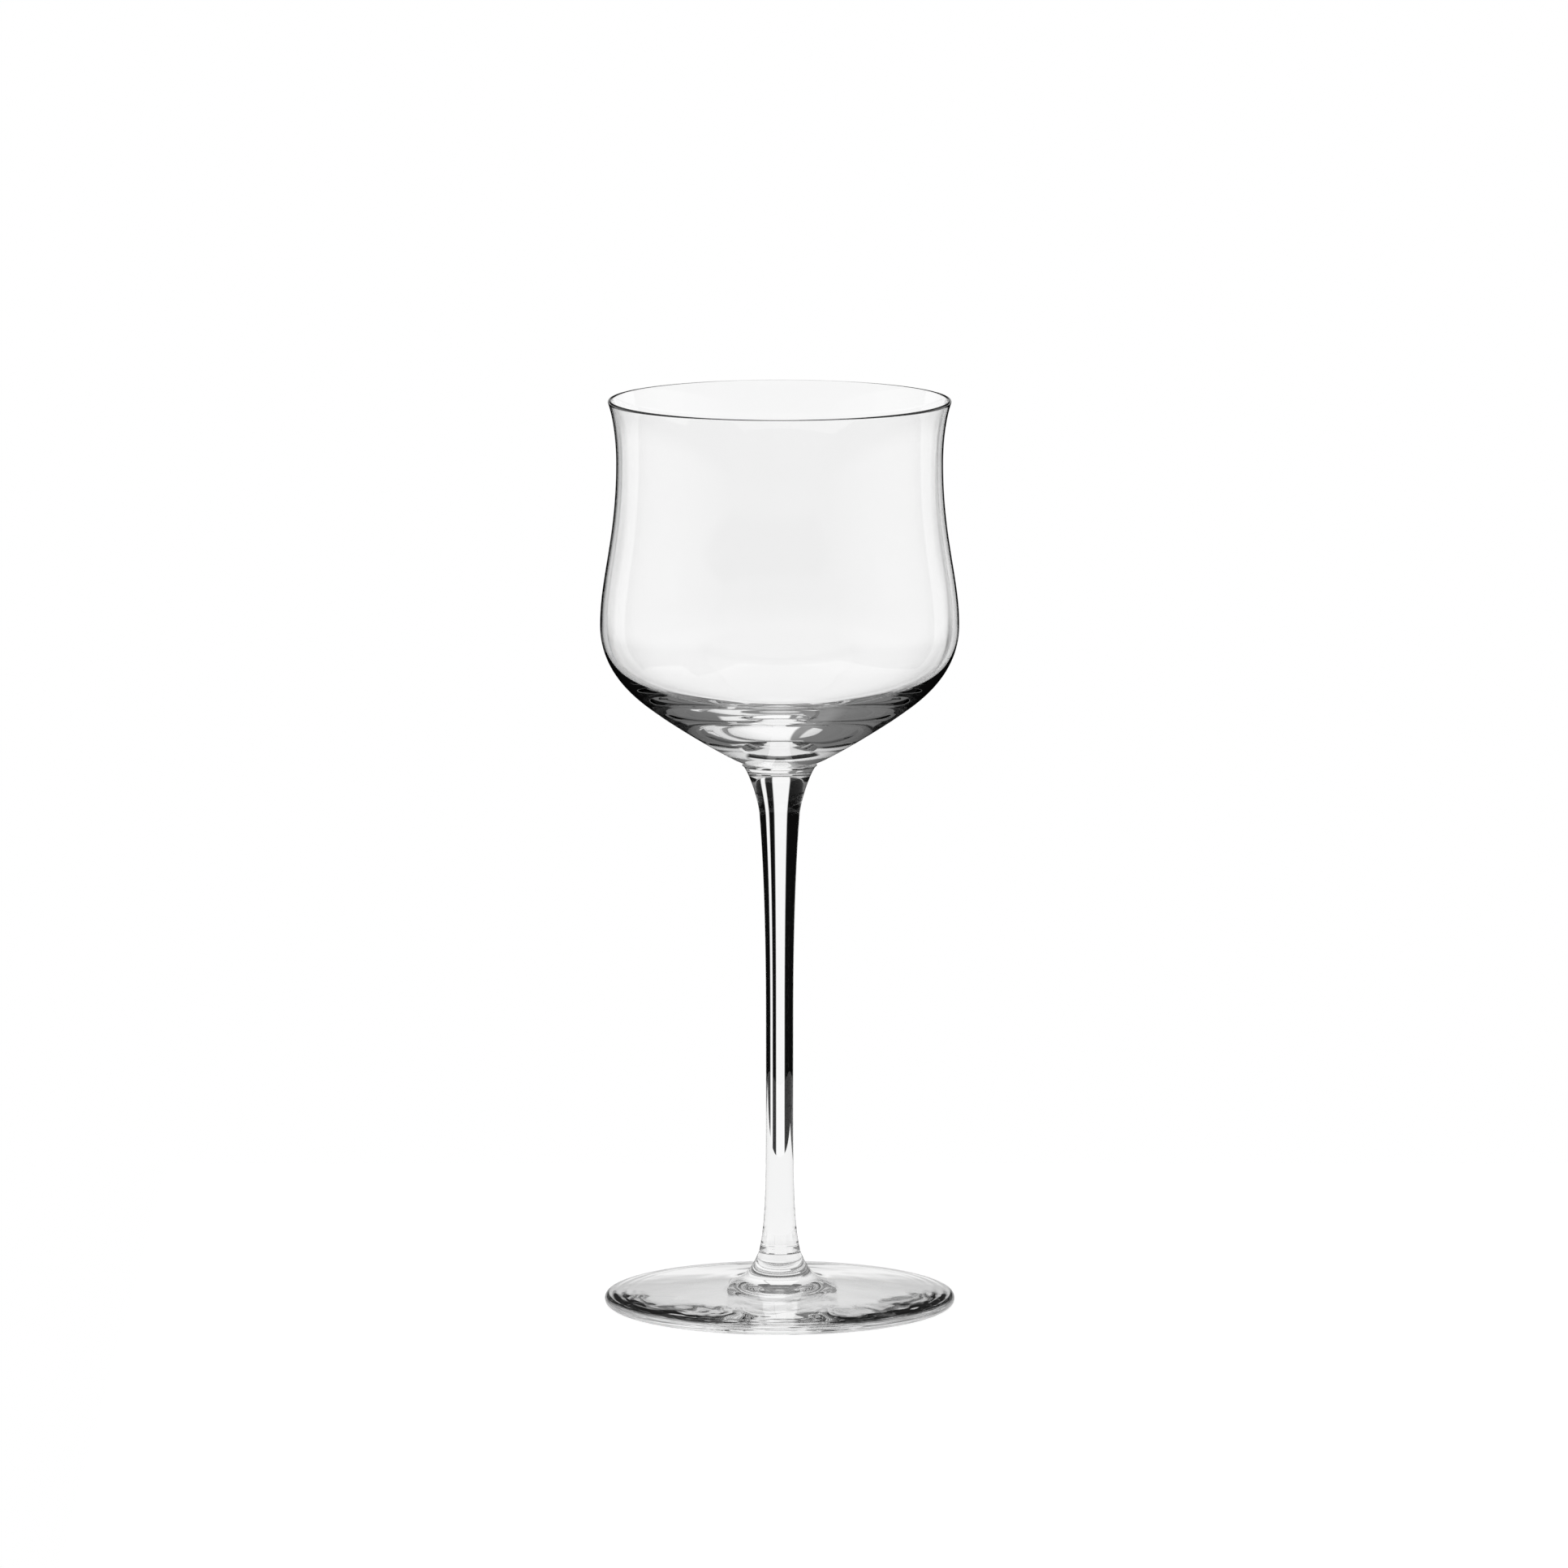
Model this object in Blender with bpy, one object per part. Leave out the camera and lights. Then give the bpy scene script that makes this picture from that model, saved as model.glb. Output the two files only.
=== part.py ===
"""Stemmed wine glass in clear glass: a tulip bowl with a turned-out lip, a drawn stem and a round foot.

The three pieces are modelled apart and seat in one another the way the hot glass was joined: the bowl's
rounded nose sits in a dish at the top of the stem, and the stem's rounded end sits in a dish on the foot.
"""

import bpy
from math import cos, pi, radians, sin
from mathutils import Vector
from mathutils.geometry import interpolate_bezier

# Whole glass, in metres
HEIGHT = 0.2100
JOINT_GAP = 0.0003

# Bowl: the places that give its tulip outline, each a radius and a height
RIM_RADIUS = 0.03927
WAIST_RADIUS, WAIST_HEIGHT = 0.03741, 0.1955
BELLY_RADIUS, BELLY_HEIGHT = 0.04117, 0.1580
CONE_RADIUS, CONE_HEIGHT = 0.0277, 0.1375
SEAT_RADIUS, SEAT_HEIGHT = 0.0087, 0.1262
NOSE_HEIGHT = 0.1246

# Bowl: how far its outline turns from straight down towards the axis at those places
RIM_FLARE = radians(19)
CONE_TURN = radians(54)
SEAT_TURN = radians(71)
LEVEL = radians(90)

# Bowl: how far each curve of its outline holds to the direction at its upper and its lower end
LIP_PULLS = (0.0032, 0.0060)
THROAT_PULLS = (0.0176, 0.0111)
SHOULDER_PULLS = (0.0115, 0.0051)
CONE_PULLS = (0.0041, 0.0038)
NOSE_PULLS = (0.0029, 0.0030)

# Bowl: wall thickness at the lip and at the belly
LIP_WALL = 0.0009
BELLY_WALL = 0.00135

# Bowl: inside below the belly, which rounds in sooner than the outside and leaves a thick base
KNEE_RADIUS, KNEE_HEIGHT = 0.0285, 0.1414
BOTTOM_HEIGHT = 0.1340
INNER_BELLY_TURN = radians(0.5)
KNEE_TURN = radians(60)
INNER_SHOULDER_PULLS = (0.0105, 0.0040)
INNER_BASE_PULLS = (0.0060, 0.0090)

# Stem: lip of the dish under the bowl, neck, thinnest place and lower end
DISH_RADIUS = 0.0080
STEM_LIP_RADIUS, STEM_LIP_HEIGHT = 0.0086, 0.1255
NECK_RADIUS, NECK_HEIGHT = 0.0046, 0.1139
SHAFT_RADIUS, SHAFT_HEIGHT = 0.00315, 0.0660
STEM_END_RADIUS, STEM_END_HEIGHT = 0.00475, 0.0121
STEM_LIP_TURN = radians(80)
NECK_TURN = radians(4)
STEM_END_TURN = radians(-13)
STEM_CAP_TURN = radians(70)
STEM_CAP_DROP = 0.0007
FLARE_PULLS = (0.0009, 0.0042)
UPPER_SHAFT_PULLS = (0.0047, 0.0290)
LOWER_SHAFT_PULLS = (0.0304, 0.0087)
CAP_PULLS = (0.0015, 0.0020)

# Foot: trumpet up to the stem, sloping top, rounded edge, flat standing ring and hollow underside
TRUMPET_TURN = radians(-22)
ROOT_RADIUS, ROOT_HEIGHT = 0.0140, 0.0049
FOOT_SLOPE = radians(6)
FOOT_RADIUS = 0.04045
EDGE_RADIUS = 0.0011
RING_INNER_RADIUS = 0.0355
HOLLOW_DEPTH = 0.0019
TRUMPET_PULLS = (0.0055, 0.0060)
HOLLOW_PULLS = (0.0120, 0.0160)

# Facets around the axis
BOWL_SIDES = 48
STEM_SIDES = 24
FOOT_SIDES = 48

# Clear glass
GLASS_COLOR = (0.96, 0.98, 0.97, 1.0)
GLASS_ROUGHNESS = 0.02
GLASS_IOR = 1.52


def place(radius, height):
    """Point of a profile, drawn in the XZ plane."""
    return Vector((radius, 0.0, height))


def heading(turn):
    """Direction down the profile, turned from straight down towards the axis."""
    return Vector((-sin(turn), 0.0, -cos(turn)))


def curve(start, start_turn, end, end_turn, pulls, pieces):
    """Points after start on the Bezier curve to end; pulls are the lengths of its two handles."""
    leave = start + pulls[0] * heading(start_turn)
    arrive = end - pulls[1] * heading(end_turn)
    return interpolate_bezier(start, leave, arrive, end, pieces + 1)[1:]


def arc(centre, radius, first, last, pieces):
    """Points of a round edge, by angle from the outward direction."""
    angles = [first + (last - first) * i / pieces for i in range(pieces + 1)]
    return [centre + radius * Vector((cos(a), 0.0, sin(a))) for a in angles]


def inward_normals(points):
    """Unit normals that point into the bowl, for a profile that runs down its outer side to the belly."""
    ahead = points[1:] + points[-1:]
    behind = points[:1] + points[:-1]
    normals = [Vector((b.z - a.z, 0.0, a.x - b.x)).normalized() for a, b in zip(behind, ahead)]
    normals[-1] = Vector((-1.0, 0.0, 0.0))
    return normals


def wall_thickness(height):
    """Wall of the bowl at a height above the belly: it grows slowly from the lip down."""
    share = (HEIGHT - height) / (HEIGHT - BELLY_HEIGHT)
    return LIP_WALL + (BELLY_WALL - LIP_WALL) * share


def nose_curve(pieces):
    """Rounded bottom of the bowl, from its seat ring in to the axis."""
    seat = place(SEAT_RADIUS, SEAT_HEIGHT)
    nose = place(0.0, NOSE_HEIGHT)
    return curve(seat, SEAT_TURN, nose, LEVEL, NOSE_PULLS, pieces)


def bowl_profile():
    """Inside from the bottom up, over the rounded rim, and down the outside to the nose."""
    rim = place(RIM_RADIUS, HEIGHT - (1 + sin(RIM_FLARE)) * LIP_WALL / 2)
    waist = place(WAIST_RADIUS, WAIST_HEIGHT)
    belly = place(BELLY_RADIUS, BELLY_HEIGHT)
    cone = place(CONE_RADIUS, CONE_HEIGHT)
    seat = place(SEAT_RADIUS, SEAT_HEIGHT)
    knee = place(KNEE_RADIUS, KNEE_HEIGHT)
    bottom = place(0.0, BOTTOM_HEIGHT)
    upper = [rim]
    upper += curve(rim, RIM_FLARE, waist, 0.0, LIP_PULLS, 5)
    upper += curve(waist, 0.0, belly, 0.0, THROAT_PULLS, 8)
    lower = curve(belly, 0.0, cone, CONE_TURN, SHOULDER_PULLS, 8)
    lower += curve(cone, CONE_TURN, seat, SEAT_TURN, CONE_PULLS, 4)
    lower += nose_curve(4)
    inside = [p + wall_thickness(p.z) * n for p, n in zip(upper, inward_normals(upper))]
    rim_centre = (upper[0] + inside[0]) / 2
    inside += curve(inside[-1], INNER_BELLY_TURN, knee, KNEE_TURN, INNER_SHOULDER_PULLS, 8)
    inside += curve(knee, KNEE_TURN, bottom, LEVEL, INNER_BASE_PULLS, 8)
    rim_arc = arc(rim_centre, LIP_WALL / 2, pi - RIM_FLARE, -RIM_FLARE, 6)[1:-1]
    return inside[::-1] + rim_arc + upper + lower


def stem_profile():
    """Dish under the bowl from the axis out, over the lip, and down the drawn shaft to its rounded end."""
    drop = Vector((0.0, 0.0, JOINT_GAP))
    dish = [p - drop for p in nose_curve(6) if p.x < DISH_RADIUS]
    lip = place(STEM_LIP_RADIUS, STEM_LIP_HEIGHT)
    neck = place(NECK_RADIUS, NECK_HEIGHT)
    shaft = place(SHAFT_RADIUS, SHAFT_HEIGHT)
    end = place(STEM_END_RADIUS, STEM_END_HEIGHT)
    tip = place(0.0, STEM_END_HEIGHT - STEM_CAP_DROP)
    points = dish[::-1] + [lip]
    points += curve(lip, STEM_LIP_TURN, neck, NECK_TURN, FLARE_PULLS, 8)
    points += curve(neck, NECK_TURN, shaft, 0.0, UPPER_SHAFT_PULLS, 6)
    points += curve(shaft, 0.0, end, STEM_END_TURN, LOWER_SHAFT_PULLS, 8)
    points += curve(end, STEM_CAP_TURN, tip, LEVEL, CAP_PULLS, 3)
    return points


def foot_profile():
    """Dish for the stem from the axis out, down the trumpet, over the edge and back under to the axis."""
    dish_centre = place(0.0, STEM_END_HEIGHT - STEM_CAP_DROP - JOINT_GAP)
    boss = place(STEM_END_RADIUS, STEM_END_HEIGHT - JOINT_GAP)
    root = place(ROOT_RADIUS, ROOT_HEIGHT)
    edge_centre = place(FOOT_RADIUS - EDGE_RADIUS, EDGE_RADIUS)
    ring = place(RING_INNER_RADIUS, 0.0)
    hollow = place(0.0, HOLLOW_DEPTH)
    points = [dish_centre]
    points += curve(dish_centre, -LEVEL, boss, STEM_CAP_TURN - pi, CAP_PULLS[::-1], 3)
    points += curve(boss, TRUMPET_TURN, root, FOOT_SLOPE - LEVEL, TRUMPET_PULLS, 9)
    points += arc(edge_centre, EDGE_RADIUS, LEVEL - FOOT_SLOPE, -LEVEL, 6)
    points += [ring]
    points += curve(ring, LEVEL, hollow, LEVEL, HOLLOW_PULLS, 5)
    return points


def clear_glass(name):
    """Colourless fire-polished glass."""
    material = bpy.data.materials.new(name)
    material.use_nodes = True
    shader = material.node_tree.nodes["Principled BSDF"]
    shader.inputs["Base Color"].default_value = GLASS_COLOR
    shader.inputs["Roughness"].default_value = GLASS_ROUGHNESS
    shader.inputs["Metallic"].default_value = 0.0
    shader.inputs["IOR"].default_value = GLASS_IOR
    shader.inputs["Transmission Weight"].default_value = 1.0
    return material


def turned_piece(name, profile, sides):
    """Solid of revolution: the profile is swept once round the Z axis and closed on itself."""
    mesh = bpy.data.meshes.new(name)
    mesh.from_pydata(profile, [(i, i + 1) for i in range(len(profile) - 1)], [])
    piece = bpy.data.objects.new(name, mesh)
    bpy.context.scene.collection.objects.link(piece)
    mesh.materials.append(clear_glass(name + "_glass"))
    sweep = piece.modifiers.new("turn", "SCREW")
    sweep.axis = "Z"
    sweep.angle = 2 * pi
    sweep.steps = sides
    sweep.render_steps = sides
    sweep.use_merge_vertices = True
    sweep.merge_threshold = 0.00001
    sweep.use_smooth_shade = True
    return piece


for old in list(bpy.data.objects):
    bpy.data.objects.remove(old)

turned_piece("bowl", bowl_profile(), BOWL_SIDES)
turned_piece("stem", stem_profile(), STEM_SIDES)
turned_piece("foot", foot_profile(), FOOT_SIDES)
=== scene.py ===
from math import pi, radians, sin, tan

import bpy
import numpy as np
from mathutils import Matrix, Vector


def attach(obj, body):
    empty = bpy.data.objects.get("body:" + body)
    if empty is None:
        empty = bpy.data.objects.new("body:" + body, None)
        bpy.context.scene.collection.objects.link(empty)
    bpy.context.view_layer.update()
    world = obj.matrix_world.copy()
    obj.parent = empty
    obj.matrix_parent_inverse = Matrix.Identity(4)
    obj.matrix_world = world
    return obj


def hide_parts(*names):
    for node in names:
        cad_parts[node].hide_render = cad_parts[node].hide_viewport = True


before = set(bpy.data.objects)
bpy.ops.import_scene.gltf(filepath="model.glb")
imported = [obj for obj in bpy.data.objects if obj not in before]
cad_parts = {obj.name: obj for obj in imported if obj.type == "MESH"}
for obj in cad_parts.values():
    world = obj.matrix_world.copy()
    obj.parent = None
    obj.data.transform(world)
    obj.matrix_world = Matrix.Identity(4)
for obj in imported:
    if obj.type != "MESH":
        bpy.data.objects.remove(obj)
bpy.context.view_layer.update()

# Bowl: one bubble of clear glass, blown into a tulip, its lip turned out and melted round in a flame.
# The wall is thinnest at the lip. Below the belly the inside rounds in sooner than the outside, which leaves
# a thick base of solid glass, and the nose under it was fused hot onto the stem.

HEIGHT = 0.20997
RIM_RADIUS, RIM_FLARE = 0.03927, radians(19)
WAIST = np.array((0.03741, 0.1955))
BELLY = np.array((0.04117, 0.1580))
CONE, CONE_TURN = np.array((0.0277, 0.1375)), radians(54)
SEAT, SEAT_TURN = np.array((0.0087, 0.1262)), radians(71)
NOSE, LEVEL = np.array((0.0, 0.1246)), radians(90)
INNER_BELLY_TURN = radians(0.5)
KNEE, KNEE_TURN = np.array((0.0285, 0.1414)), radians(60)
BOTTOM = np.array((0.0, 0.1340))
LIP_WALL, BELLY_WALL = 0.0009, 0.00135
FUSED_RADIUS = 0.0080
JOINT_GAP = 0.00002
BOWL_SIDES = 192
GLASS_IOR = 1.52
CLOTH_SIZE, CLOTH_EDGE = 0.018, (0.50, 0.75)
BUBBLE_SPACING, BUBBLE_SHARE = 0.0022, 0.07


def heading(turn):
    """Direction down a profile: straight down, turned by an angle towards the axis."""
    return np.array((-np.sin(turn), -np.cos(turn)))


def drawn_curve(start, start_turn, end, end_turn, pulls, count):
    """Cubic Bezier in the plane of radius and height, as count points after start.

    At each end it holds to a direction, turned from straight down towards the axis, by a handle as long as
    its pull.
    """
    leave = start + pulls[0] * heading(start_turn)
    arrive = end - pulls[1] * heading(end_turn)
    t = np.linspace(0, 1, count + 1)[1:, None]
    return (1 - t)**3 * start + 3 * t * (1 - t)**2 * leave + 3 * t**2 * (1 - t) * arrive + t**3 * end


def round_edge(centre, radius, first, last, count):
    """Arc of count points about centre, by angle from the outward direction."""
    angle = np.linspace(first, last, count)
    return centre + radius * np.stack((np.cos(angle), np.sin(angle)), -1)


def turned_mesh(name, profile, joint_rows, sides, rise=0):
    """Surface of revolution: the profile point (r, h) goes to (r cos a, r sin a, h) at every angle a.

    The profile starts and ends on the axis, where a single point closes the surface. The bands of faces
    that joint_rows names take the second material, and rise lifts each point by its own height.
    """
    angle = 2 * pi * np.arange(sides) / sides
    radius, height = profile[1:-1, :1], profile[1:-1, 1:]
    rings = np.stack((radius * np.cos(angle), radius * np.sin(angle), height + rise + 0 * angle), -1)
    poles = np.array(((0, 0, profile[0, 1]), (0, 0, profile[-1, 1])))
    points = np.concatenate((rings.reshape(-1, 3), poles))
    ring = np.arange(rings.shape[0] * sides).reshape(-1, sides)
    beside = np.roll(ring, -1, axis=1)
    bands = np.stack((ring[:-1], ring[1:], beside[1:], beside[:-1]), -1)
    first_pole, last_pole = len(points) - 2, len(points) - 1
    first_cap = np.stack((0 * ring[0] + first_pole, ring[0], beside[0]), -1)
    last_cap = np.stack((ring[-1], 0 * ring[-1] + last_pole, beside[-1]), -1)
    faces = first_cap.tolist() + bands.reshape(-1, 4).tolist() + last_cap.tolist()
    mesh = bpy.data.meshes.new(name)
    mesh.from_pydata(points.tolist(), [], faces)
    mesh.polygons.foreach_set("use_smooth", np.ones(len(faces), bool))
    mesh.polygons.foreach_set("material_index", np.repeat(joint_rows.astype(np.int32), sides))
    return mesh


def nose_curve(count):
    """Rounded bottom of the bowl, from its seat ring in to the axis."""
    return drawn_curve(SEAT, SEAT_TURN, NOSE, LEVEL, (0.0029, 0.0030), count)


def bowl_profile():
    """Inside from the bottom up, over the round lip and down the outside to the nose.

    Above the belly the inside lies one wall thickness from the outside, along its normal, and the wall
    thickens steadily from the lip down. Below the belly the inside has its own curves, down to the bottom.
    """
    rim = np.array((RIM_RADIUS, HEIGHT - (1 + sin(RIM_FLARE)) * LIP_WALL / 2))
    upper = np.concatenate((
        [rim],
        drawn_curve(rim, RIM_FLARE, WAIST, 0, (0.0032, 0.0060), 40),
        drawn_curve(WAIST, 0, BELLY, 0, (0.0176, 0.0111), 60),
    ))
    along = np.gradient(upper, axis=0)
    normal = np.stack((along[:, 1], -along[:, 0]), -1)
    normal /= np.linalg.norm(normal, axis=1, keepdims=True)
    normal[-1] = (-1, 0)
    share = (HEIGHT - upper[:, 1:]) / (HEIGHT - BELLY[1])
    inside = upper + (LIP_WALL + (BELLY_WALL - LIP_WALL) * share) * normal
    lip = round_edge((upper[0] + inside[0]) / 2, LIP_WALL / 2, pi - RIM_FLARE, -RIM_FLARE, 18)[1:-1]
    inside = np.concatenate((
        inside,
        drawn_curve(inside[-1], INNER_BELLY_TURN, KNEE, KNEE_TURN, (0.0105, 0.0040), 60),
        drawn_curve(KNEE, KNEE_TURN, BOTTOM, LEVEL, (0.0060, 0.0090), 60),
    ))
    lower = np.concatenate((
        drawn_curve(BELLY, 0, CONE, CONE_TURN, (0.0115, 0.0051), 60),
        drawn_curve(CONE, CONE_TURN, SEAT, SEAT_TURN, (0.0041, 0.0038), 40),
        nose_curve(30),
    ))
    return np.concatenate((inside[::-1], lip, upper, lower))


def linear(hex_colour):
    """Linear RGBA of an sRGB hex colour."""
    srgb = np.array([int(hex_colour[i:i + 2], 16) for i in (1, 3, 5)]) / 255
    value = np.where(srgb <= 0.04045, srgb / 12.92, ((srgb + 0.055) / 1.055)**2.4)
    return (*value.tolist(), 1.0)


def add_node(tree, kind, inputs=(), **settings):
    """Adds a shader node with its settings.

    Each input is a socket's name or number, and a value for it or an output that is linked to it.
    """
    node = tree.nodes.new(kind)
    for name, value in settings.items():
        setattr(node, name, value)
    for socket, value in dict(inputs).items():
        if isinstance(value, bpy.types.NodeSocket):
            tree.links.new(value, node.inputs[socket])
        else:
            node.inputs[socket].default_value = value
    return node


def clear_glass(name, wave_lengths, wave_height, smear):
    """Colourless lead-free glass: it bends light and mirrors its surroundings, and has no colour of its own.

    Soft waves, with a length in metres along each axis, are left by hot working and make what shows through
    it waver. Faint smears of the polishing cloth, CLOTH_SIZE apart, blur it by the roughness smear at most.
    """
    material = bpy.data.materials.new(name)
    material.use_nodes = True
    tree = material.node_tree
    place = add_node(tree, "ShaderNodeTexCoord").outputs["Object"]
    stretched = add_node(tree, "ShaderNodeVectorMath", {0: place, 1: wave_lengths}, operation="DIVIDE")
    waves = add_node(
        tree, "ShaderNodeTexNoise", {"Vector": stretched.outputs[0], "Scale": 1.0, "Detail": 1.0})
    bump = add_node(tree, "ShaderNodeBump", {
        "Height": waves.outputs["Fac"], "Strength": 1.0, "Distance": wave_height})
    cloth = add_node(tree, "ShaderNodeTexNoise", {"Vector": place, "Scale": 1 / CLOTH_SIZE, "Detail": 3.0})
    blur = add_node(tree, "ShaderNodeMapRange", {
        "Value": cloth.outputs["Fac"], "From Min": CLOTH_EDGE[0], "From Max": CLOTH_EDGE[1],
        "To Min": 0.0, "To Max": smear})
    shader = tree.nodes["Principled BSDF"]
    shader.inputs["Base Color"].default_value = linear("#ffffff")
    shader.inputs["IOR"].default_value = GLASS_IOR
    shader.inputs["Transmission Weight"].default_value = 1.0
    tree.links.new(blur.outputs[0], shader.inputs["Roughness"])
    tree.links.new(bump.outputs[0], shader.inputs["Normal"])
    return material


def fused_joint():
    """Glass fused to glass has no surface to see, so light goes straight through, except at tiny bubbles."""
    material = bpy.data.materials.new("fused_glass_joint")
    material.use_nodes = True
    tree = material.node_tree
    tree.nodes.clear()
    place = add_node(tree, "ShaderNodeTexCoord").outputs["Object"]
    cells = add_node(tree, "ShaderNodeTexVoronoi", {"Vector": place, "Scale": 1 / BUBBLE_SPACING})
    bubble = add_node(
        tree, "ShaderNodeMath", {0: cells.outputs["Distance"], 1: BUBBLE_SHARE}, operation="LESS_THAN")
    clear = add_node(tree, "ShaderNodeBsdfTransparent")
    gas = add_node(tree, "ShaderNodeBsdfGlass", {"IOR": 1 / GLASS_IOR, "Roughness": 0.0})
    mix = add_node(
        tree, "ShaderNodeMixShader", {0: bubble.outputs[0], 1: clear.outputs[0], 2: gas.outputs[0]})
    add_node(tree, "ShaderNodeOutputMaterial", {"Surface": mix.outputs[0]})
    return material


def glass_piece(name, node, mesh, glass):
    """Puts a turned piece in the scene in place of its CAD node."""
    piece = bpy.data.objects.new(name, mesh)
    bpy.context.scene.collection.objects.link(piece)
    mesh.materials.append(glass)
    mesh.materials.append(joint)
    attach(piece, "root")
    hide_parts(node)


joint = fused_joint()
profile = bowl_profile()
outer_rows = np.arange(len(profile) - 1) > len(profile) // 2
bowl_mesh = turned_mesh("blown_bowl", profile, outer_rows & (profile[:-1, 0] < FUSED_RADIUS), BOWL_SIDES)

# Blown glass: long, shallow waves, so that only the edges of what lies behind waver.
glass_piece("blown_bowl", "bowl", bowl_mesh, clear_glass(
    "blown_clear_glass", wave_lengths=(0.022, 0.022, 0.030), wave_height=0.000016, smear=0.006))

# Stem: a gather of clear glass stuck to the bowl's nose and drawn down by hand to a slim solid shaft.
# It flares to a dish under the bowl and to a rounded end that the foot was dropped onto.

STEM_LIP, STEM_LIP_TURN = np.array((0.0086, 0.1255)), radians(80)
NECK, NECK_TURN = np.array((0.0046, 0.1139)), radians(4)
SHAFT = np.array((0.00315, 0.0660))
STEM_END, STEM_END_TURN = np.array((0.00475, 0.0121)), radians(-13)
STEM_TIP, CAP_TURN = np.array((0.0, 0.0114)), radians(70)
CAP_COUNT = 16
STEM_SIDES = 128


def cap_curve():
    """Rounded lower end of the stem, from its edge in to the axis."""
    return drawn_curve(STEM_END, CAP_TURN, STEM_TIP, LEVEL, (0.0015, 0.0020), CAP_COUNT)


nose = nose_curve(60)
dish = nose[nose[:, 0] < FUSED_RADIUS][::-1] - np.array((0, JOINT_GAP))
profile = np.concatenate((
    dish,
    [STEM_LIP],
    drawn_curve(STEM_LIP, STEM_LIP_TURN, NECK, NECK_TURN, (0.0009, 0.0042), 50),
    drawn_curve(NECK, NECK_TURN, SHAFT, 0, (0.0047, 0.0290), 50),
    drawn_curve(SHAFT, 0, STEM_END, STEM_END_TURN, (0.0304, 0.0087), 60),
    cap_curve(),
))
rows = np.arange(len(profile) - 1)
fused = (rows < len(dish) - 1) | (rows >= len(profile) - 1 - CAP_COUNT)

# Drawn glass: fine cords run down its length and break the edges of the dark streaks along it.
glass_piece("drawn_stem", "stem", turned_mesh("drawn_stem", profile, fused, STEM_SIDES), clear_glass(
    "drawn_clear_glass", wave_lengths=(0.0025, 0.0025, 0.045), wave_height=0.000004, smear=0.004))

# Foot: a gather of clear glass dropped on the stem's end, spread into a disc with a wooden tool and spun.
# A trumpet rises to the stem, the edge is melted round and stands on a flat ring, and the middle of the
# underside is hollow. Spinning leaves rings near the edge, and the tool leaves shallow waves.

ROOT, FOOT_SLOPE = np.array((0.0140, 0.0049)), radians(6)
TRUMPET_TURN = radians(-22)
FOOT_RADIUS, EDGE_RADIUS = 0.04045, 0.0011
RING_INNER_RADIUS, HOLLOW_DEPTH = 0.0355, 0.0019
SPIN_RADIUS, SPIN_PITCH, SPIN_HEIGHT = 0.0300, 0.0023, 0.000035
SPIN_FADE = 0.0005
WAVE_COUNT, WAVE_LENGTHS, WAVE_HEIGHT = 9, (0.014, 0.005), 0.000010
WAVE_END, INNER_FADE, OUTER_FADE = 0.0385, 0.006, 0.004
FOOT_SIDES = 192


def spun_slope(start, end, count):
    """Straight slope from start to end with rings of SPIN_PITCH as a sine wave of the radius.

    The rings grow with the square of the distance past SPIN_RADIUS and fade out just before the edge.
    """
    share = np.linspace(0, 1, count + 2)[1:-1, None]
    slope = start + share * (end - start)
    out = slope[:, 0] - SPIN_RADIUS
    grown = np.clip(out / (end[0] - SPIN_RADIUS), 0, 1)**2
    faded = np.clip((end[0] - slope[:, 0]) / SPIN_FADE, 0, 1)
    slope[:, 1] += SPIN_HEIGHT * grown * faded * np.sin(2 * pi * out / SPIN_PITCH)
    return slope


def tool_waves(profile, sides):
    """Height of the waves at each inner profile point and angle, as a sum of plane sine waves.

    Their directions are spread by the golden angle, and the shorter ones are shallower. They fade out at the
    trumpet and at the edge, and lie on the top only.
    """
    angle = 2 * pi * np.arange(sides) / sides
    radius, height = profile[1:-1, :1], profile[1:-1, 1:]
    x, y = radius * np.cos(angle), radius * np.sin(angle)
    number = np.arange(WAVE_COUNT)
    length = np.linspace(*WAVE_LENGTHS, WAVE_COUNT)
    turn = number * pi * (3 - 5**0.5)
    across = x[..., None] * np.cos(turn) + y[..., None] * np.sin(turn)
    waves = (length / length[0] * np.sin(2 * pi * across / length + number**2)).sum(-1)
    spread = np.clip((radius - ROOT[0]) / INNER_FADE, 0, 1) * np.clip((WAVE_END - radius) / OUTER_FADE, 0, 1)
    return WAVE_HEIGHT * waves * spread * (height > HOLLOW_DEPTH)


drop = np.array((0, JOINT_GAP))
dish = cap_curve()[::-1] - drop
boss = STEM_END - drop
edge = round_edge(
    np.array((FOOT_RADIUS - EDGE_RADIUS, EDGE_RADIUS)), EDGE_RADIUS, LEVEL - FOOT_SLOPE, -LEVEL, 24)
ring = np.array((RING_INNER_RADIUS, 0.0))
profile = np.concatenate((
    dish,
    [boss],
    drawn_curve(boss, TRUMPET_TURN, ROOT, FOOT_SLOPE - LEVEL, (0.0055, 0.0060), 50),
    spun_slope(ROOT, edge[0], 160),
    edge,
    drawn_curve(edge[-1], LEVEL, ring, LEVEL, (0.001, 0.001), 6),
    drawn_curve(ring, LEVEL, np.array((0.0, HOLLOW_DEPTH)), LEVEL, (0.0120, 0.0160), 60),
))
fused = np.arange(len(profile) - 1) < len(dish)
foot_mesh = turned_mesh("pressed_foot", profile, fused, FOOT_SIDES, tool_waves(profile, FOOT_SIDES))

# Pressed glass: short ripples from the tool, which break its shine into ragged patches.
glass_piece("pressed_foot", "foot", foot_mesh, clear_glass(
    "pressed_clear_glass", wave_lengths=(0.007, 0.007, 0.007), wave_height=0.00003, smear=0.006))

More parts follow.
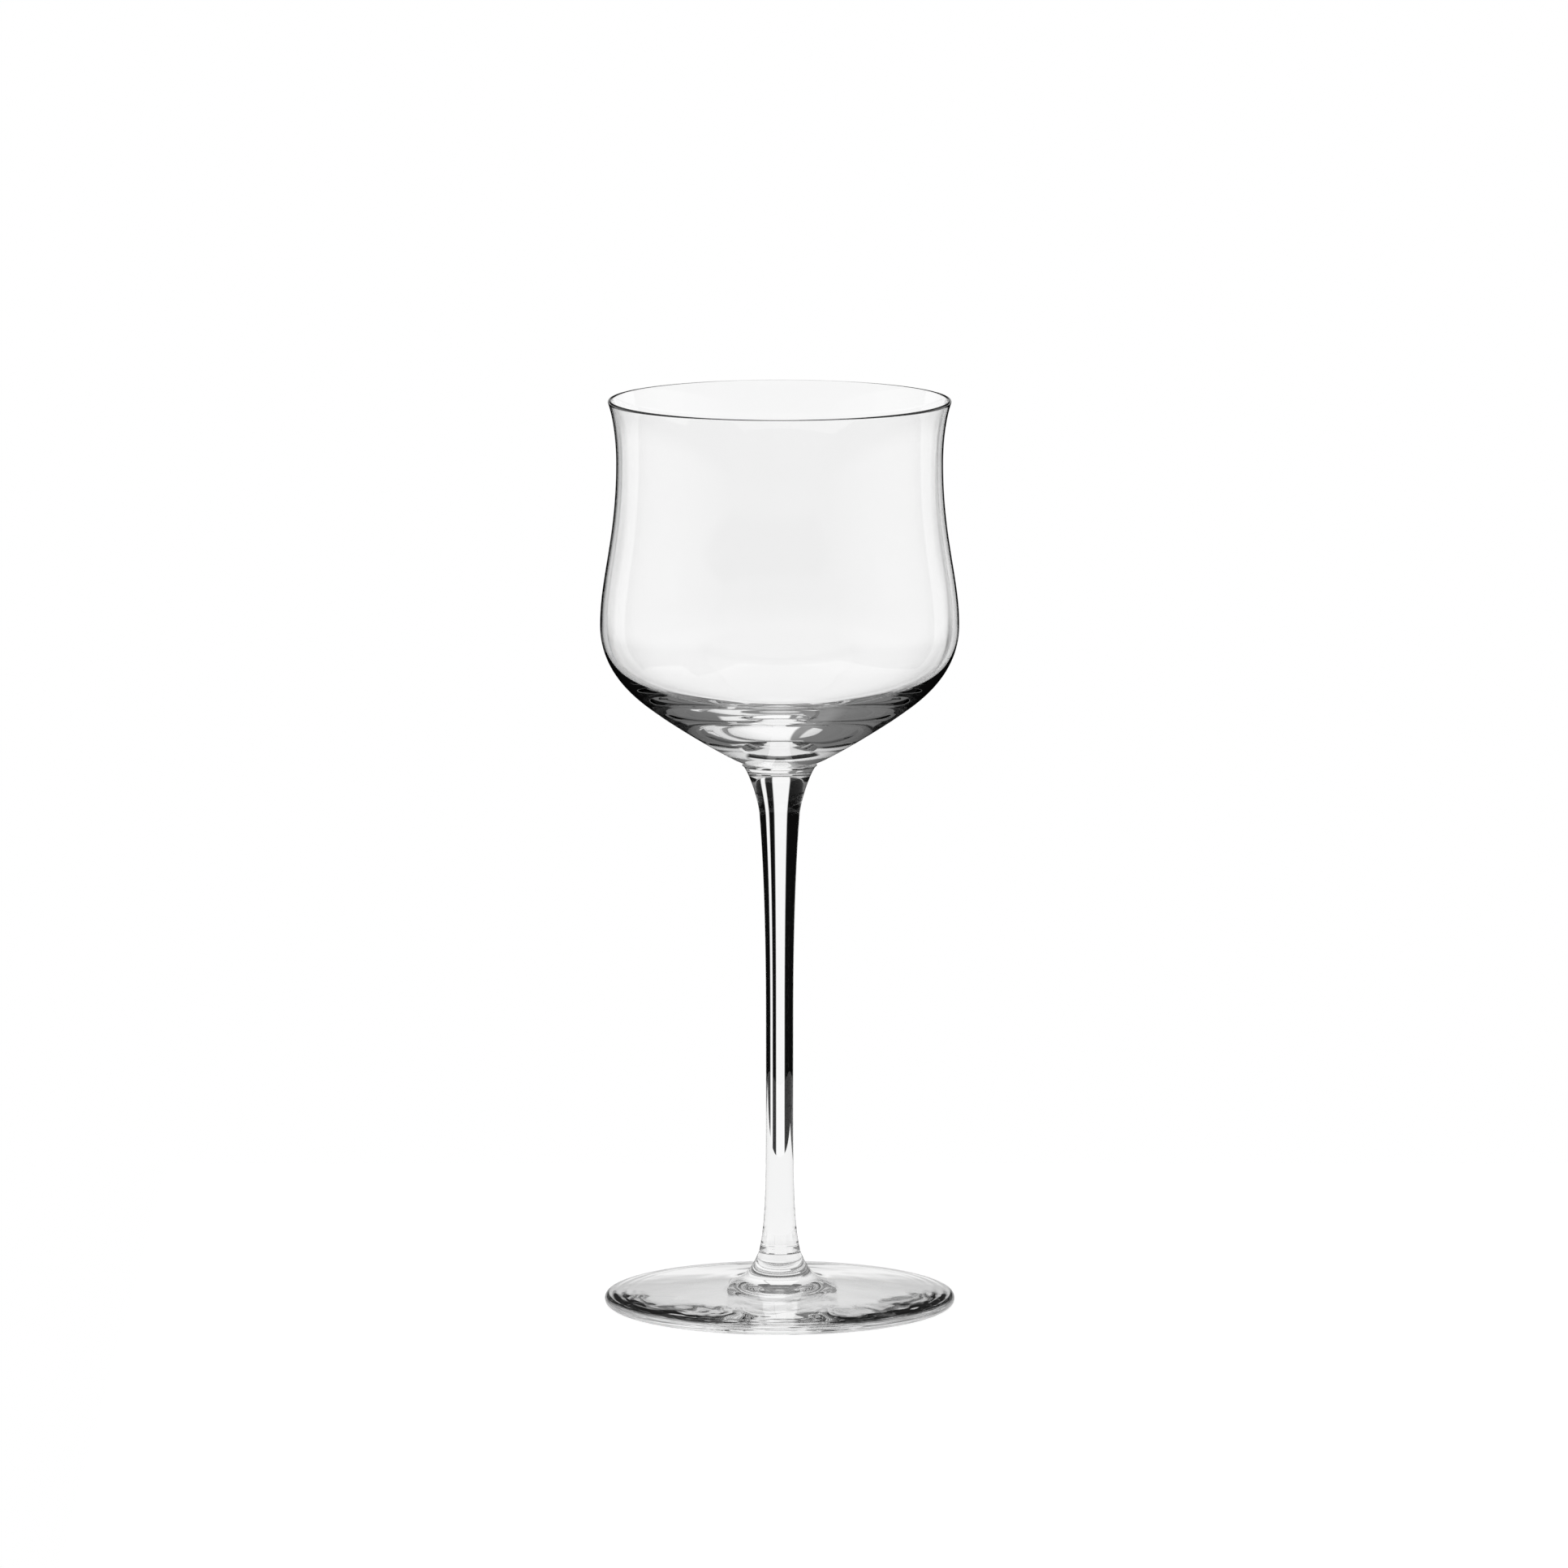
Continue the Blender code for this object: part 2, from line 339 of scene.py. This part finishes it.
# Table: a plain white board under the glass. It looks white and takes the glass's soft shadow.
# Seen through the glass it glows a little greyer than the screen behind. Mirrored on the outside of the glass
# it shows painted light close by and is painted dark farther out, and mirrored inside the foot it shows a
# painted ring of shade where the foot stands.

TABLE_LOW, TABLE_HIGH = (-0.150, -0.300), (0.240, 0.178)
TABLE_DROP = 0.0002
TABLE_GLOW, TABLE_THROUGH = 0.90, 0.95
INSIDE_PASSES, PASS_MARGIN = 2.0, 1.5
# Painted light: the board glows bright close round the glass and is dark farther out.
CLOSE_RADIUS, FAR_RADIUS, CLOSE_LIGHT, FAR_LIGHT = 0.055, 0.075, 0.90, 0.03
# Painted shade: a dark ring on the board where the foot stands.
SHADE_RADIUS, SHADE_HALF_WIDTH, SHADE_BLUR, SHADE_LIGHT, OPEN_LIGHT = 0.0384, 0.0026, 0.0008, 0.01, 0.90

(x0, y0), (x1, y1) = TABLE_LOW, TABLE_HIGH
table_mesh = bpy.data.meshes.new("table")
table_mesh.from_pydata([(x0, y0, 0), (x1, y0, 0), (x1, y1, 0), (x0, y1, 0)], [], [(0, 1, 2, 3)])
table = bpy.data.objects.new("table", table_mesh)
bpy.context.scene.collection.objects.link(table)
table.location.z = -TABLE_DROP

board = bpy.data.materials.new("white_board")
board.use_nodes = True
tree = board.node_tree
tree.nodes.clear()
path = add_node(tree, "ShaderNodeLightPath")
mirrored = add_node(
    tree, "ShaderNodeMath", {0: path.outputs["Glossy Depth"], 1: 0.5}, operation="GREATER_THAN")
inside = add_node(tree, "ShaderNodeMath", {
    0: path.outputs["Transmission Depth"], 1: INSIDE_PASSES, 2: PASS_MARGIN}, operation="COMPARE")
place = add_node(tree, "ShaderNodeTexCoord")
reach = add_node(tree, "ShaderNodeVectorMath", {0: place.outputs["Object"]}, operation="LENGTH")
# Painted shade: the board is dark in a ring round the foot's standing ring, seen only mirrored inside the
# foot.
off = add_node(tree, "ShaderNodeMath", {0: reach.outputs["Value"], 1: SHADE_RADIUS}, operation="SUBTRACT")
off = add_node(tree, "ShaderNodeMath", {0: off.outputs[0]}, operation="ABSOLUTE")
painted_shade_ring = add_node(tree, "ShaderNodeMapRange", {
    "Value": off.outputs[0], "To Min": SHADE_LIGHT, "To Max": OPEN_LIGHT,
    "From Min": SHADE_HALF_WIDTH - SHADE_BLUR, "From Max": SHADE_HALF_WIDTH + SHADE_BLUR})
# Painted light: bright close round the glass, dark farther out, seen only mirrored on the outside of the
# glass.
painted_light_near = add_node(tree, "ShaderNodeMapRange", {
    "Value": reach.outputs["Value"], "From Min": CLOSE_RADIUS, "From Max": FAR_RADIUS,
    "To Min": CLOSE_LIGHT, "To Max": FAR_LIGHT})
reflected = add_node(tree, "ShaderNodeMix", {0: inside.outputs[0], 2: painted_light_near.outputs[0], 3: painted_shade_ring.outputs[0]})
light = add_node(tree, "ShaderNodeMix", {0: mirrored.outputs[0], 2: TABLE_THROUGH, 3: reflected.outputs[0]})
through_glass = add_node(
    tree, "ShaderNodeEmission", {"Color": linear("#ffffff"), "Strength": light.outputs[0]})
white = add_node(tree, "ShaderNodeEmission", {"Color": linear("#ffffff"), "Strength": TABLE_GLOW})
matt = add_node(tree, "ShaderNodeBsdfDiffuse", {"Color": linear("#f2f2f2")})
lit = add_node(tree, "ShaderNodeAddShader", {0: white.outputs[0], 1: matt.outputs[0]})
mix = add_node(tree, "ShaderNodeMixShader", {
    0: path.outputs["Is Camera Ray"], 1: through_glass.outputs[0], 2: lit.outputs[0]})
add_node(tree, "ShaderNodeOutputMaterial", {"Surface": mix.outputs[0]})
table_mesh.materials.append(board)

# Studio: a dark room with a lit white screen behind the glass, a strip light to its right and dim walls.
# The camera sees it as plain white, and the glass sees lit panels, by the way the light has taken.
# Each panel is an azimuth from straight behind the glass, positive to the right, a half width, a lowest and a
# highest elevation, all in degrees, and a strength. THROUGH is for light that the glass only bends, ONCE for
# light mirrored once inside it, AGAIN for two to four times, LONG for up to thirteen times, which happens in
# the thick base, and LOST for more than that.

DARK, PANEL_BLUR = 0.004, 1.0
THROUGH = (
    (-2.3, 12.7, -60, 35, 1.0),
    (27.7, 4.8, -60, 35, 1.0),
    (-45, 16, -36, -17, 1.0),
    (135, 16, -27, -5, 1.0),
    (-90, 16, -60, 30, 1.0),
)
ONCE = (
    (-2.3, 14, 0, 40, 1.0),
    (24, 12, -60, 35, 1.0),
    (-37, 22, -35, 35, 0.85),
    (37, 22, -35, 35, 0.85),
    (-72, 34, -52, -32, 1.0),
    (0, 108, 4, 90, 0.15),
    (180, 72, 28, 92, 0.50),
)
AGAIN = (
    (12, 21, -60, 60, 1.0),
    (-45, 30, -16, 8, 0.80),
    (45, 30, -16, 8, 0.80),
    (0, 55, -92, 92, 0.21),
    (180, 55, -92, 92, 0.21),
)
LONG = (
    (12, 30, -9, 35, 0.9),
    (-2, 72, -20, 92, 0.21),
    (180, 72, -20, 92, 0.21),
)
LOST = (
    (0, 182, 35, 92, 0.16),
)
AGAIN_COUNT, LONG_COUNT, LOST_COUNT = 2, 5, 14

# The walls, for light mirrored off the outside of the glass or once inside the bowl: the light in front and
# at the sides, and limits of the cosine of the azimuth and of the sine of the elevation, between which the
# light changes.
FRONT_WALL, SIDE_WALL, SIDE_FROM = 0.22, 0.85, 0.4
FLAG_EDGE = (0.93, 0.83)
GAP_BOTTOM, GAP_TOP, ABOVE_GAP = (-0.08, -0.04), (0.05, 0.15), 0.06
WALL_TOP, ABOVE_WALL = (0.05, 0.35), 0.6
TABLE_EDGE = (-0.149, 0.03)
FRONT_EDGE = (-0.70, -0.95)
CEILING, CEILING_LIGHT = (0.0, 0.50), 0.50

world = bpy.data.worlds.new("studio")
bpy.context.scene.world = world
world.use_nodes = True
tree = world.node_tree
tree.nodes.clear()
direction = add_node(tree, "ShaderNodeTexCoord").outputs["Generated"]
east, north, rise = add_node(tree, "ShaderNodeSeparateXYZ", {0: direction}).outputs
lift = add_node(tree, "ShaderNodeMath", {0: rise}, operation="ARCSINE").outputs[0]


def panel(azimuth, half_width, low, high, strength):
    """Lit area of the surroundings, whose strength fades to nothing across its blurred edges."""
    turned = add_node(
        tree, "ShaderNodeVectorRotate", {"Vector": direction, "Angle": radians(azimuth)},
        rotation_type="Z_AXIS")
    part = add_node(tree, "ShaderNodeSeparateXYZ", {0: turned.outputs[0]})
    side = add_node(tree, "ShaderNodeMath", {0: part.outputs[0], 1: part.outputs[1]}, operation="ARCTAN2")
    off = add_node(tree, "ShaderNodeMath", {0: side.outputs[0]}, operation="ABSOLUTE")
    across = add_node(tree, "ShaderNodeMapRange", {
        "Value": off.outputs[0], "To Max": strength,
        "From Min": radians(half_width + PANEL_BLUR), "From Max": radians(half_width - PANEL_BLUR)})
    above = add_node(tree, "ShaderNodeMapRange", {
        "Value": lift, "From Min": radians(low - PANEL_BLUR), "From Max": radians(low + PANEL_BLUR)})
    below = add_node(tree, "ShaderNodeMapRange", {
        "Value": lift, "From Min": radians(high + PANEL_BLUR), "From Max": radians(high - PANEL_BLUR)})
    height = add_node(
        tree, "ShaderNodeMath", {0: above.outputs[0], 1: below.outputs[0]}, operation="MULTIPLY")
    return add_node(
        tree, "ShaderNodeMath", {0: across.outputs[0], 1: height.outputs[0]}, operation="MULTIPLY")


def panels(places):
    """Brightest of several panels at each direction, and DARK between them."""
    light = DARK
    for place in places:
        lit = panel(*place).outputs[0]
        light = add_node(tree, "ShaderNodeMath", {0: light, 1: lit}, operation="MAXIMUM").outputs[0]
    return light


flat = add_node(tree, "ShaderNodeCombineXYZ", {0: east, 1: north})
flat = add_node(tree, "ShaderNodeVectorMath", {0: flat.outputs[0]}, operation="NORMALIZE")
behind = add_node(tree, "ShaderNodeSeparateXYZ", {0: flat.outputs[0]}).outputs[1]
walls = add_node(tree, "ShaderNodeMapRange", {
    "Value": behind, "From Min": -1.0, "From Max": SIDE_FROM, "To Min": FRONT_WALL, "To Max": SIDE_WALL})

# Dark flags stand behind the glass, with a low gap between them.
beside = add_node(
    tree, "ShaderNodeMapRange", {"Value": behind, "From Min": FLAG_EDGE[0], "From Max": FLAG_EDGE[1]})
raised = add_node(
    tree, "ShaderNodeMapRange", {"Value": rise, "From Min": GAP_BOTTOM[0], "From Max": GAP_BOTTOM[1]})
topped = add_node(tree, "ShaderNodeMapRange", {
    "Value": rise, "From Min": GAP_TOP[0], "From Max": GAP_TOP[1], "To Min": 1.0, "To Max": ABOVE_GAP})
gap = add_node(tree, "ShaderNodeMath", {0: raised.outputs[0], 1: topped.outputs[0]}, operation="MULTIPLY")
clear = add_node(tree, "ShaderNodeMath", {0: beside.outputs[0], 1: gap.outputs[0]}, operation="MAXIMUM")
walls = add_node(tree, "ShaderNodeMath", {0: walls.outputs[0], 1: clear.outputs[0]}, operation="MULTIPLY")
higher = add_node(tree, "ShaderNodeMapRange", {
    "Value": rise, "From Min": WALL_TOP[0], "From Max": WALL_TOP[1], "To Min": 1.0, "To Max": ABOVE_WALL})
walls = add_node(tree, "ShaderNodeMath", {0: walls.outputs[0], 1: higher.outputs[0]}, operation="MULTIPLY")

# The outside of the glass mirrors the walls only above the table or in front of it.
over_table = add_node(
    tree, "ShaderNodeMapRange", {"Value": rise, "From Min": TABLE_EDGE[0], "From Max": TABLE_EDGE[1]})
in_front = add_node(
    tree, "ShaderNodeMapRange", {"Value": behind, "From Min": FRONT_EDGE[0], "From Max": FRONT_EDGE[1]})
seen = add_node(
    tree, "ShaderNodeMath", {0: over_table.outputs[0], 1: in_front.outputs[0]}, operation="MAXIMUM")
first = add_node(tree, "ShaderNodeMath", {0: walls.outputs[0], 1: seen.outputs[0]}, operation="MULTIPLY")

# The inside of the bowl mirrors the walls and a glow of the ceiling.
glow = add_node(tree, "ShaderNodeMapRange", {
    "Value": rise, "From Min": CEILING[0], "From Max": CEILING[1], "To Min": 0.0, "To Max": CEILING_LIGHT})
later = add_node(tree, "ShaderNodeMath", {0: walls.outputs[0], 1: glow.outputs[0]}, operation="ADD")

# Glossy Depth counts how often the light was mirrored, and Transmission Depth how many surfaces it passed.
# One to three of those mean that the light was mirrored inside the glass nearest to the camera.
path = add_node(tree, "ShaderNodeLightPath")
mirrors, passes = path.outputs["Glossy Depth"], path.outputs["Transmission Depth"]
mirrored = add_node(tree, "ShaderNodeMath", {0: mirrors, 1: 0.5}, operation="GREATER_THAN")
again = add_node(tree, "ShaderNodeMath", {0: mirrors, 1: AGAIN_COUNT - 0.5}, operation="GREATER_THAN")
often = add_node(tree, "ShaderNodeMath", {0: mirrors, 1: LONG_COUNT - 0.5}, operation="GREATER_THAN")
caught = add_node(tree, "ShaderNodeMath", {0: mirrors, 1: LOST_COUNT - 0.5}, operation="GREATER_THAN")
entered = add_node(tree, "ShaderNodeMath", {0: passes, 1: 0.5}, operation="GREATER_THAN")
inside = add_node(
    tree, "ShaderNodeMath", {0: passes, 1: INSIDE_PASSES, 2: PASS_MARGIN}, operation="COMPARE")
outer = add_node(tree, "ShaderNodeMix", {0: entered.outputs[0], 2: first.outputs[0], 3: later.outputs[0]})
inner = add_node(tree, "ShaderNodeMix", {0: caught.outputs[0], 2: panels(LONG), 3: panels(LOST)})
inner = add_node(tree, "ShaderNodeMix", {0: often.outputs[0], 2: panels(AGAIN), 3: inner.outputs[0]})
inner = add_node(tree, "ShaderNodeMix", {0: again.outputs[0], 2: panels(ONCE), 3: inner.outputs[0]})
guided = add_node(tree, "ShaderNodeMath", {0: inside.outputs[0], 1: again.outputs[0]}, operation="MAXIMUM")
reflected = add_node(tree, "ShaderNodeMix", {0: guided.outputs[0], 2: outer.outputs[0], 3: inner.outputs[0]})
light = add_node(tree, "ShaderNodeMix", {0: mirrored.outputs[0], 2: panels(THROUGH), 3: reflected.outputs[0]})
surround = add_node(tree, "ShaderNodeBackground", {"Color": linear("#ffffff"), "Strength": light.outputs[0]})
white = add_node(tree, "ShaderNodeBackground", {"Color": linear("#ffffff"), "Strength": 1.0})
mix = add_node(tree, "ShaderNodeMixShader", {
    0: path.outputs["Is Camera Ray"], 1: surround.outputs[0], 2: white.outputs[0]})
add_node(tree, "ShaderNodeOutputWorld", {"Surface": mix.outputs[0]})

# Cards: two glowing white boards left and right of the bowl, higher than the stem and out of the picture.
# Their glow is painted light and not a lamp.
# They give the bowl's walls their sheen, so only light mirrored straight off the glass sees them. Their light
# falls off towards the front and the lower edge, which leaves no hard line on the bowl.

CARD_DISTANCE, CARD_FRONT, CARD_BACK = 0.300, -0.450, 0.400
CARD_LOW, CARD_HIGH, CARD_FADE = 0.080, 0.320, 0.045
CARD_LIGHT, CARD_DIM = 0.90, 0.19

glowing_card_material = bpy.data.materials.new("glowing_card")
glowing_card_material.use_nodes = True
tree = glowing_card_material.node_tree
tree.nodes.clear()
place = add_node(tree, "ShaderNodeTexCoord")
part = add_node(tree, "ShaderNodeSeparateXYZ", {0: place.outputs["Object"]})
along = add_node(tree, "ShaderNodeMapRange", {
    "Value": part.outputs[1], "From Min": CARD_FRONT, "From Max": 0.0,
    "To Min": CARD_DIM, "To Max": CARD_LIGHT})
upward = add_node(tree, "ShaderNodeMapRange", {
    "Value": part.outputs[2], "From Min": CARD_LOW, "From Max": CARD_LOW + CARD_FADE})
strength = add_node(tree, "ShaderNodeMath", {0: along.outputs[0], 1: upward.outputs[0]}, operation="MULTIPLY")
# Painted light: the card glows by emission and is seen only in reflections on the glass.
glowing = add_node(tree, "ShaderNodeEmission", {"Color": linear("#ffffff"), "Strength": strength.outputs[0]})
add_node(tree, "ShaderNodeOutputMaterial", {"Surface": glowing.outputs[0]})
for name, x in (("left_card", -CARD_DISTANCE), ("right_card", CARD_DISTANCE)):
    card_mesh = bpy.data.meshes.new(name)
    corners = ((CARD_FRONT, CARD_LOW), (CARD_BACK, CARD_LOW), (CARD_BACK, CARD_HIGH), (CARD_FRONT, CARD_HIGH))
    card_mesh.from_pydata([(x, y, z) for y, z in corners], [], [(0, 1, 2, 3)])
    card_mesh.materials.append(glowing_card_material)
    card = bpy.data.objects.new(name, card_mesh)
    bpy.context.scene.collection.objects.link(card)
    card.visible_camera = False
    card.visible_diffuse = False
    card.visible_transmission = False
    card.visible_shadow = False

# Lamp: a square soft box over the table, a little to the left and in front of the glass.
# It lights the table alone, because the glass gets its light from the studio.

LAMP_SIDE, LAMP_POWER = 1.0, 5.0
LAMP_PLACE = (-0.25, -0.20, 1.4)
lamp = bpy.data.objects.new("soft_box", bpy.data.lights.new("soft_box", "AREA"))
bpy.context.scene.collection.objects.link(lamp)
lamp.data.size = LAMP_SIDE
lamp.data.energy = LAMP_POWER
lamp.location = LAMP_PLACE
lamp.visible_glossy = False
lamp.visible_transmission = False

# Camera: a long lens 2.8 m away and about half a metre above the table.
# Light may be bent and mirrored many times, because the thick base of the bowl leads it round like a fibre.

CAMERA_PLACE = Vector((0.0, -2.800, 0.545))
AIM = Vector((0.0010, 0.0, 0.1211))
FIELD, SENSOR = radians(7.277), 36.0
BOUNCES = 48
camera = bpy.data.objects.new("camera", bpy.data.cameras.new("camera"))
bpy.context.scene.collection.objects.link(camera)
camera.location = CAMERA_PLACE
camera.rotation_euler = (AIM - CAMERA_PLACE).to_track_quat("-Z", "Y").to_euler()
camera.data.sensor_width = SENSOR
camera.data.lens = SENSOR / 2 / tan(FIELD / 2)
camera.data.clip_end = 100.0
bpy.context.scene.camera = camera

scene = bpy.context.scene
scene.view_settings.view_transform = "Standard"
scene.cycles.max_bounces = BOUNCES
scene.cycles.transmission_bounces = BOUNCES
scene.cycles.glossy_bounces = BOUNCES
scene.cycles.transparent_max_bounces = BOUNCES
